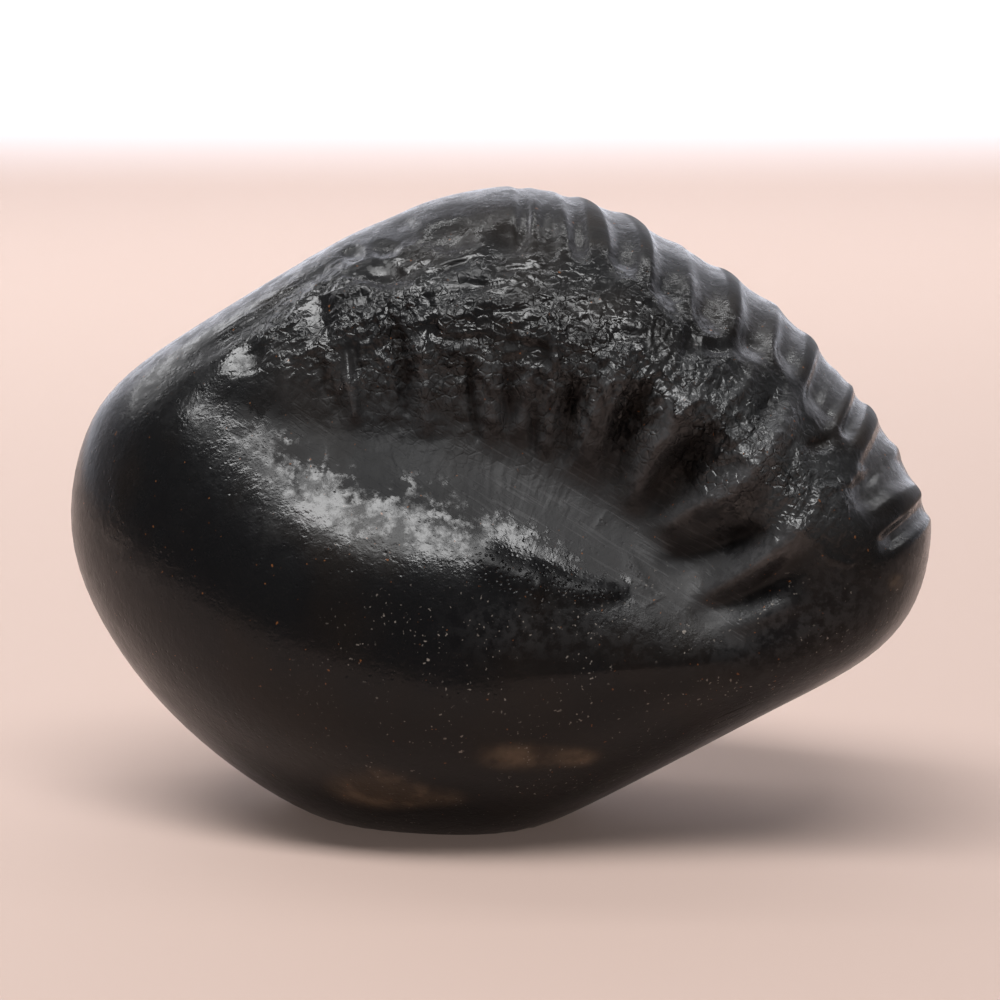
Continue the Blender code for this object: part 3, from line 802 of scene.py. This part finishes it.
class Wire:
    """One output of a shader node. Arithmetic on it adds Math nodes."""

    def __init__(self, recipe, socket):
        self.recipe = recipe
        self.socket = socket

    def math(self, operation, *operands):
        sockets = dict(enumerate(operands))
        return self.recipe.node("ShaderNodeMath", {"operation": operation}, sockets)

    def __add__(self, other):
        return self.math("ADD", self, other)

    def __sub__(self, other):
        return self.math("SUBTRACT", self, other)

    def __rsub__(self, other):
        return self.math("SUBTRACT", other, self)

    def __mul__(self, other):
        return self.math("MULTIPLY", self, other)

    __radd__ = __add__
    __rmul__ = __mul__

    def between(self, low, high):
        """0 below low, 1 above high and a smooth rise between them; high may be the lesser."""
        sockets = {"Value": self, "From Min": low, "From Max": high}
        settings = {"interpolation_type": "SMOOTHSTEP"}
        return self.recipe.node("ShaderNodeMapRange", settings, sockets, "Result")


class Recipe:
    """A material's node tree and the way that nodes are added to it."""

    def __init__(self, name):
        self.material = bpy.data.materials.new(name)
        self.material.use_nodes = True
        self.tree = self.material.node_tree
        self.shader = self.tree.nodes["Principled BSDF"]
        self.output = self.tree.nodes["Material Output"]

    def connect(self, target, value):
        if isinstance(value, Wire):
            self.tree.links.new(value.socket, target)
        else:
            target.default_value = value

    def node(self, kind, settings=None, sockets=None, output=0):
        """Adds a node, makes its settings, then fills its sockets with values or links."""
        made = self.tree.nodes.new(kind)
        for name, value in (settings or {}).items():
            setattr(made, name, value)
        for name, value in (sockets or {}).items():
            self.connect(made.inputs[name], value)
        return Wire(self, made.outputs[output])

    def mask(self, name):
        """A number that the mesh carries at each of its points."""
        return self.node("ShaderNodeAttribute", {"attribute_name": name}, None, "Fac")

    def scaled(self, vector, by):
        return self.node("ShaderNodeVectorMath", {"operation": "MULTIPLY"}, {0: vector, 1: by})

    def noise(self, place, scale, detail=2.0, roughness=0.5):
        sockets = {"Vector": place, "Scale": scale, "Detail": detail, "Roughness": roughness}
        return self.node("ShaderNodeTexNoise", None, sockets, "Fac")

    def cells(self, place, scale, feature="F1"):
        """Distance from the nearest centre of scattered cells, or from the nearest border between them."""
        sockets = {"Vector": place, "Scale": scale}
        return self.node("ShaderNodeTexVoronoi", {"feature": feature}, sockets, "Distance")

    def part(self, vector, axis):
        """One of a vector's three numbers."""
        return self.node("ShaderNodeSeparateXYZ", None, {"Vector": vector}, axis)

    def mixed(self, share, first, second):
        """A colour between two colours."""
        return self.node("ShaderNodeMix", {"data_type": "RGBA"}, {0: share, 6: first, 7: second}, 2)

    def finish(self, **sockets):
        """Sets the shader's own sockets, given with _ for a space."""
        for name, value in sockets.items():
            self.connect(self.shader.inputs[name.replace("_", " ")], value)
        return self.material

    def overlaid(self, share, **sockets):
        """Puts a second shader over the first, in the given share."""
        first = self.shader
        self.shader = self.tree.nodes.new("ShaderNodeBsdfPrincipled")
        self.finish(**sockets)
        lower, upper = Wire(self, first.outputs[0]), Wire(self, self.shader.outputs[0])
        both = self.node("ShaderNodeMixShader", None, {0: share, 1: lower, 2: upper})
        self.connect(self.output.inputs["Surface"], both)
        return self.material


def scratched(recipe, mm):
    """Fine scratches that run down to the right, at the slant of the valley."""
    slant = {"Vector": mm, "Rotation": (0.0, math.radians(SCRATCH_SLANT_DEG), 0.0), "Scale": SCRATCH_SIZE}
    streaked = recipe.node("ShaderNodeMapping", {"vector_type": "TEXTURE"}, slant)
    return recipe.noise(streaked, 1.0, 1.0).between(0.56, 0.68)


def stone_colour(recipe, mm, marks, finish):
    """The black skin, then what lies over it from the widest stain to the smallest grain.

    Each line mixes one more colour in, by a mask of where it lies times a noise that breaks it up. Some
    of it is painted light: the weathered grey is a painted fill light on the coil's lower inner wall and
    leaves the hollows black as painted shade, the crest grey there is partly a painted highlight, and the
    valley's dust is partly a painted sheen, lighter towards its right.
    """
    rough, crest, hollow, rubbed, scuffed = (marks[name] for name in COLOUR_MASKS)
    patches, blotches, dull = marks["patches"], marks["blotches"], marks["dull"]
    # 1 below 38 mm and 0 above 46 mm: the lower part, where the coil's inner wall faces away from the lights.
    #                                  The painted fill light and painted highlight below are laid on by it.
    inner_wall = recipe.part(mm, "Z").between(46.0, 38.0)
    middle = recipe.part(mm, "X").between(-20.0, -6.0) * recipe.part(mm, "Z").between(27.0, 20.0)
    flecks = recipe.noise(mm, 3.1, 1.0).between(0.68, 0.76)
    flecks = flecks * middle * recipe.noise(mm, 0.3).between(0.44, 0.58)
    rust = recipe.noise(mm, 2.3, 1.0).between(0.76, 0.80)
    tint = recipe.noise(mm, 0.10, 2.0).between(0.40, 0.70)
    # Painted fill light, partly the real grey of the rough band: laid on mostly over the lower inner wall,
    # where the light is weak. The hollows are left black as painted shade.
    weathered_and_fill_light = rough * (0.15 + 0.85 * inner_wall) * (1.0 - hollow.between(0.1, 0.6))
    # Partly real dust in the scratches, partly a painted sheen: the valley's grey is laid on more thickly
    # towards its right side.
    dust_and_sheen_share = dull * (0.1 + 0.9 * marks["side"]) * (0.65 + 0.55 * marks["scratches"])

    black = recipe.mixed(tint * 0.7, finish.black, finish.brown_black)
    black = recipe.mixed(weathered_and_fill_light, black, finish.weathered_and_fill_light)
    # Painted highlight, partly real wear: the inner rib crests on the lower inner wall are made greyer to
    # stand in for glints.
    black = recipe.mixed(crest * inner_wall * (0.5 + 0.5 * blotches), black, finish.crest)
    black = recipe.mixed(dust_and_sheen_share, black, finish.dust_and_sheen)
    black = recipe.mixed(hollow.between(0.2, 0.9) * patches * 0.15, black, finish.clay)
    black = recipe.mixed(scuffed * blotches * 0.35, black, finish.dust_and_sheen)
    black = recipe.mixed(rubbed.between(0.10, 1.0) * (0.35 + 0.65 * patches), black, finish.rubbed)
    black = recipe.mixed(flecks * 0.6, black, finish.fleck)
    return recipe.mixed(rust * 0.8, black, finish.rust)


def stone_grain(recipe, mm, marks):
    """The relief that is finer than the mesh, in millimetres: grain, chips, pits and scratches."""
    rough, dull = marks["rough"], marks["dull"]
    lobe = 1.0 - rough.between(0.05, 0.35)
    pits = recipe.cells(mm, 1.6).between(0.30, 0.05) * recipe.noise(mm, 0.5, 2.0).between(0.45, 0.65)
    chips = recipe.cells(mm, 1.15, "DISTANCE_TO_EDGE").between(0.0, 0.16)
    broken = rough * (0.35 + 0.75 * recipe.noise(mm, 0.38, 3.0, 0.6).between(0.40, 0.58))
    grain = 0.006 * recipe.noise(mm, 7.0, 2.0)
    grain = grain + broken * (0.08 * chips + 0.15 * recipe.noise(mm, 1.3, 4.0, 0.62))
    grain = grain + lobe * (0.010 * marks["blotches"] - 0.020 * pits) - 0.012 * marks["scratches"] * dull
    grain = grain - 0.09 * marks["scar"] * recipe.cells(mm, 2.4).between(0.45, 0.1)
    return grain + 0.03 * marks["scuffed"] * recipe.noise(mm, 1.6, 4.0, 0.6)


def stone_finish(finish):
    """Black close-grained stone, as a dull shader under a polished one.

    The polish is broken on the lobe and missing in the valley, in hollows and wherever the skin is worn
    through. Positions in the masks below are millimetres on the finished stone.
    """
    recipe = Recipe("black_stone_finish")
    place = recipe.node("ShaderNodeTexCoord", None, None, "Object")
    mm = recipe.scaled(place, (1.0 / MM, 1.0 / MM, 1.0 / MM))
    marks = {name: recipe.mask(name) for name in MASKS}
    rough, crest, hollow = marks["rough"], marks["crest"], marks["hollow"]
    patches = marks["patches"] = recipe.noise(mm, 0.22, 4.0, 0.6).between(0.42, 0.62)
    blotches = marks["blotches"] = recipe.noise(mm, 1.1, 3.0, 0.65).between(0.40, 0.62)
    marks["scratches"] = scratched(recipe, mm)
    across, depth, up = (recipe.part(mm, axis) for axis in "XYZ")
    side = marks["side"] = across.between(-8.0, 6.0)
    dull = (marks["valley"] + 0.12 * patches - 0.10 * blotches).between(0.34, 0.50) * (1.0 - 0.85 * crest)
    marks["dull"] = dull

    bare = dull + 0.4 * rough * (1.0 - blotches) + marks["scar"] + marks["rubbed"] + marks["scuffed"]
    bare = bare + hollow.between(0.3, 0.9)
    upper = up.between(20.0, 28.0) * across.between(-37.0, -31.0) * depth.between(8.0, -2.0)
    worn = recipe.noise(mm, 0.42, 6.0, 0.72).between(0.41, 0.60)
    worn = 0.35 + upper * (worn - 0.35)
    polish = (0.12 + 0.80 * worn) * bare.between(1.0, 0.0) + 0.30 * crest
    dullness = 0.31 + 0.08 * patches + dull * (0.19 - 0.04 * side) + 0.15 * hollow.between(0.3, 0.9)
    gloss = 0.15 + 0.05 * rough + 0.08 * crest

    colour_mix = stone_colour(recipe, mm, marks, finish)
    bump = {"Height": stone_grain(recipe, mm, marks), "Distance": MM, "Strength": 1.0}
    normal = recipe.node("ShaderNodeBump", None, bump)
    recipe.finish(Base_Color=colour_mix, Roughness=dullness, Normal=normal, IOR=1.24)
    return recipe.overlaid(polish, Base_Color=colour_mix, Roughness=gloss, Normal=normal, IOR=1.46)


def amount(name, description, default, unit="NONE"):
    """A number property."""
    return bpy.props.FloatProperty(name=name, description=description, default=default, unit=unit)


def count(name, description, default):
    """A whole-number property, for the mesh's lines."""
    return bpy.props.IntProperty(name=name, description=description, default=default, min=8)


def colour(name, description, default):
    """A colour property, in scene-linear values."""
    return bpy.props.FloatVectorProperty(
        name=name, description=description, default=(*default, 1.0), size=4, subtype="COLOR", min=0.0, max=1.0
    )


class StoneShape(bpy.types.PropertyGroup):
    """Sizes of the stone that a user would change."""

    face_depth: amount("Face depth", "Half thickness at the front pole", 0.019, "LENGTH")
    back_depth: amount("Back depth", "Half thickness at the rear pole", 0.021, "LENGTH")
    lean: amount("Lean", "How far the face looks upwards", math.radians(9.0), "ROTATION")
    foot_wear: amount("Foot wear", "What was worn off the lowest point", 0.0023, "LENGTH")
    rib_relief: amount("Rib relief", "Height of the inner ribs, as a part of their full height", 1.0)
    scale_relief: amount("Scale relief", "Height of the scales, as a part of their full height", 1.0)
    meridians: count("Meridians", "Lines of the mesh from pole to pole", 424)
    rings: count("Rings", "Steps of the mesh from pole to pole", 235)


class StoneColours(bpy.types.PropertyGroup):
    """Colours of the stone."""

    black: colour("Black", "The stone's polished skin", (0.0045, 0.0045, 0.005))
    brown_black: colour("Brown black", "The skin's warm cast", (0.009, 0.0065, 0.005))
    # Partly real dust, partly a painted sheen in the valley, lighter towards its right.
    dust_and_sheen: colour("Dust", "Fine grey dust in the valley's scratches", (0.042, 0.042, 0.043))
    clay: colour("Clay", "What stays in the grooves", (0.040, 0.028, 0.019))
    rubbed: colour("Rubbed", "The brown stone under the skin", (0.11, 0.080, 0.055))
    # Partly real wear, partly a painted highlight on the inner rib crests of the lower inner wall.
    crest: colour("Crest", "The worn crests of the inner ribs", (0.060, 0.060, 0.062))
    # Also a painted fill light: laid on mostly over the coil's lower inner wall, which faces away from the
    # lights.
    weathered_and_fill_light: colour("Weathered", "The broken ground between the ribs", (0.037, 0.038, 0.039))
    fleck: colour("Fleck", "Pale grains", (0.30, 0.27, 0.24))
    rust: colour("Rust", "The few rusty grains", (0.16, 0.06, 0.02))


class StudioSettings(bpy.types.PropertyGroup):
    """The floor, the lights and the camera."""

    floor: colour("Floor", "The pale floor", (0.40, 0.295, 0.25))
    wall: colour("Wall", "The backdrop above the floor", (0.78, 0.80, 0.88))
    key_power: amount("Key light", "Power of the long soft light overhead", 4.0, "POWER")
    wall_power: amount("Wall light", "Power of the light on the backdrop", 14.0, "POWER")
    rim_power: amount("Rim light", "Power of the light from behind on the left", 0.45, "POWER")
    sky_strength: amount("Sky light", "Strength of the wide soft light from above and behind", 0.2)
    glow: amount("Floor glow", "Light that the floor and the backdrop give off", 0.18)
    ambient: amount("Ambient", "Strength of the even light all round", 0.09)
    lens: amount("Lens", "Focal length in millimetres, on a 36 mm sensor", 130.0)
    camera_height: amount("Camera height", "How far the camera looks down", math.radians(9.0), "ROTATION")
    camera_distance: amount("Camera distance", "From the camera to its target", 0.3185, "LENGTH")
    camera_target: bpy.props.FloatVectorProperty(
        name="Camera target", description="Point at the middle of the picture", default=(0.0004, 0.0, 0.0276),
        subtype="TRANSLATION",
    )


class AMMONITE_OT_stone(bpy.types.Operator):
    """Builds the stone's fine surface and its finish in place of the plain solid"""

    bl_idname = "ammonite.stone"
    bl_label = "Build the stone"

    def execute(self, context):
        shape = context.scene.ammonite_shape
        points, masks = stone_surface(shape)
        quads, triangles = globe_faces(shape.meridians, shape.rings)
        mesh = build_mesh("fossil_stone", points, quads, triangles)
        for name, values in masks.items():
            mesh.attributes.new(name, "FLOAT", "POINT").data.foreach_set("value", values.astype(np.float32))
        mesh.materials.append(stone_finish(context.scene.ammonite_colours))
        stone = bpy.data.objects.new("fossil_stone", mesh)
        context.scene.collection.objects.link(stone)
        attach(stone, "root")
        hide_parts(STONE_NODE)
        return {"FINISHED"}


def sweep_mesh(name, width, front, back, bend, height, steps=24):
    """A floor that runs back and sweeps up into a wall: a flat run, a quarter circle and an upright run."""
    turn = np.linspace(0.0, math.pi / 2.0, steps)
    y = np.concatenate([[-front], back + bend * np.sin(turn), [back + bend]])
    z = np.concatenate([[0.0], bend * (1.0 - np.cos(turn)), [height]])
    x = np.array([-width / 2.0, width / 2.0])
    points = np.stack([np.tile(x, len(y)), np.repeat(y, 2), np.repeat(z, 2)], axis=-1)
    left = 2 * np.arange(len(y) - 1)
    mesh = bpy.data.meshes.new(name)
    mesh.from_pydata(points.tolist(), [], np.stack([left, left + 1, left + 3, left + 2], axis=-1).tolist())
    mesh.shade_smooth()
    return mesh


def floor_finish(studio):
    """The floor's pale warm colour, which turns whiter up the wall."""
    recipe = Recipe("studio_floor")
    place = recipe.node("ShaderNodeTexCoord", None, None, "Object")
    height = recipe.node("ShaderNodeSeparateXYZ", None, {"Vector": place}, "Z")
    paint = recipe.mixed(height.between(*WALL_FOOT), studio.floor, studio.wall)
    return recipe.finish(Base_Color=paint, Roughness=0.9, Emission_Color=paint, Emission_Strength=studio.glow)


def soft_light(name, place, aim, size, power):
    """A rectangular light that faces a point."""
    light = bpy.data.lights.new(name, "AREA")
    light.shape = "RECTANGLE"
    light.size, light.size_y = size
    light.energy = power
    holder = bpy.data.objects.new(name, light)
    holder.location = place
    holder.rotation_euler = (Vector(aim) - Vector(place)).to_track_quat("-Z", "Y").to_euler()
    return holder


def sky_light(name, strength):
    """A very wide soft light from above and behind."""
    light = bpy.data.lights.new(name, "SUN")
    light.energy = strength
    light.angle = math.radians(SKY_SPREAD_DEG)
    holder = bpy.data.objects.new(name, light)
    holder.rotation_euler = (math.radians(SKY_TILT_DEG), 0.0, 0.0)
    return holder


class AMMONITE_OT_stage(bpy.types.Operator):
    """Sets up the floor, the lights and the camera"""

    bl_idname = "ammonite.stage"
    bl_label = "Set up the studio"

    def execute(self, context):
        scene = context.scene
        studio = scene.ammonite_studio
        floor = bpy.data.objects.new("studio_floor", sweep_mesh("studio_floor", *FLOOR_SIZE))
        floor.data.materials.append(floor_finish(studio))
        scene.collection.objects.link(floor)

        lights = (
            soft_light("key_light", *KEY_LIGHT, studio.key_power),
            soft_light("wall_light", *WALL_LIGHT, studio.wall_power),
            soft_light("rim_light", *RIM_LIGHT, studio.rim_power),
            sky_light("sky_light", studio.sky_strength),
        )
        for light in lights:
            scene.collection.objects.link(light)

        world = bpy.data.worlds.new("studio_air")
        world.use_nodes = True
        background = world.node_tree.nodes["Background"]
        background.inputs["Color"].default_value = (1.0, 1.0, 1.0, 1.0)
        background.inputs["Strength"].default_value = studio.ambient
        scene.world = world
        scene.view_settings.view_transform = "Standard"

        camera = bpy.data.cameras.new("photo_camera")
        camera.lens = studio.lens
        camera.sensor_width = 36.0
        camera.clip_start = 0.01
        holder = bpy.data.objects.new("photo_camera", camera)
        target = Vector(studio.camera_target)
        up, back = math.sin(studio.camera_height), math.cos(studio.camera_height)
        holder.location = target + studio.camera_distance * Vector((0.0, -back, up))
        holder.rotation_euler = (target - holder.location).to_track_quat("-Z", "Y").to_euler()
        scene.collection.objects.link(holder)
        scene.camera = holder
        return {"FINISHED"}


class AMMONITE_PT_panel(bpy.types.Panel):
    """The fossil's settings"""

    bl_idname = "AMMONITE_PT_panel"
    bl_label = "Ammonite Fossil"
    bl_space_type = "VIEW_3D"
    bl_region_type = "UI"
    bl_category = "Fossil"

    def draw(self, context):
        groups = (
            (context.scene.ammonite_shape, None),
            (context.scene.ammonite_colours, AMMONITE_OT_stone.bl_idname),
            (context.scene.ammonite_studio, AMMONITE_OT_stage.bl_idname),
        )
        for settings, operator in groups:
            box = self.layout.box()
            for name in settings.__annotations__:
                box.prop(settings, name)
            if operator:
                box.operator(operator)


CLASSES = (
    StoneShape,
    StoneColours,
    StudioSettings,
    AMMONITE_OT_stone,
    AMMONITE_OT_stage,
    AMMONITE_PT_panel,
)


def register():
    for cls in CLASSES:
        bpy.utils.register_class(cls)
    bpy.types.Scene.ammonite_shape = bpy.props.PointerProperty(type=StoneShape)
    bpy.types.Scene.ammonite_colours = bpy.props.PointerProperty(type=StoneColours)
    bpy.types.Scene.ammonite_studio = bpy.props.PointerProperty(type=StudioSettings)


def unregister():
    del bpy.types.Scene.ammonite_shape
    del bpy.types.Scene.ammonite_colours
    del bpy.types.Scene.ammonite_studio
    for cls in reversed(CLASSES):
        bpy.utils.unregister_class(cls)


def main():
    register()
    bpy.ops.ammonite.stone()
    bpy.ops.ammonite.stage()


if __name__ == "__main__":
    main()
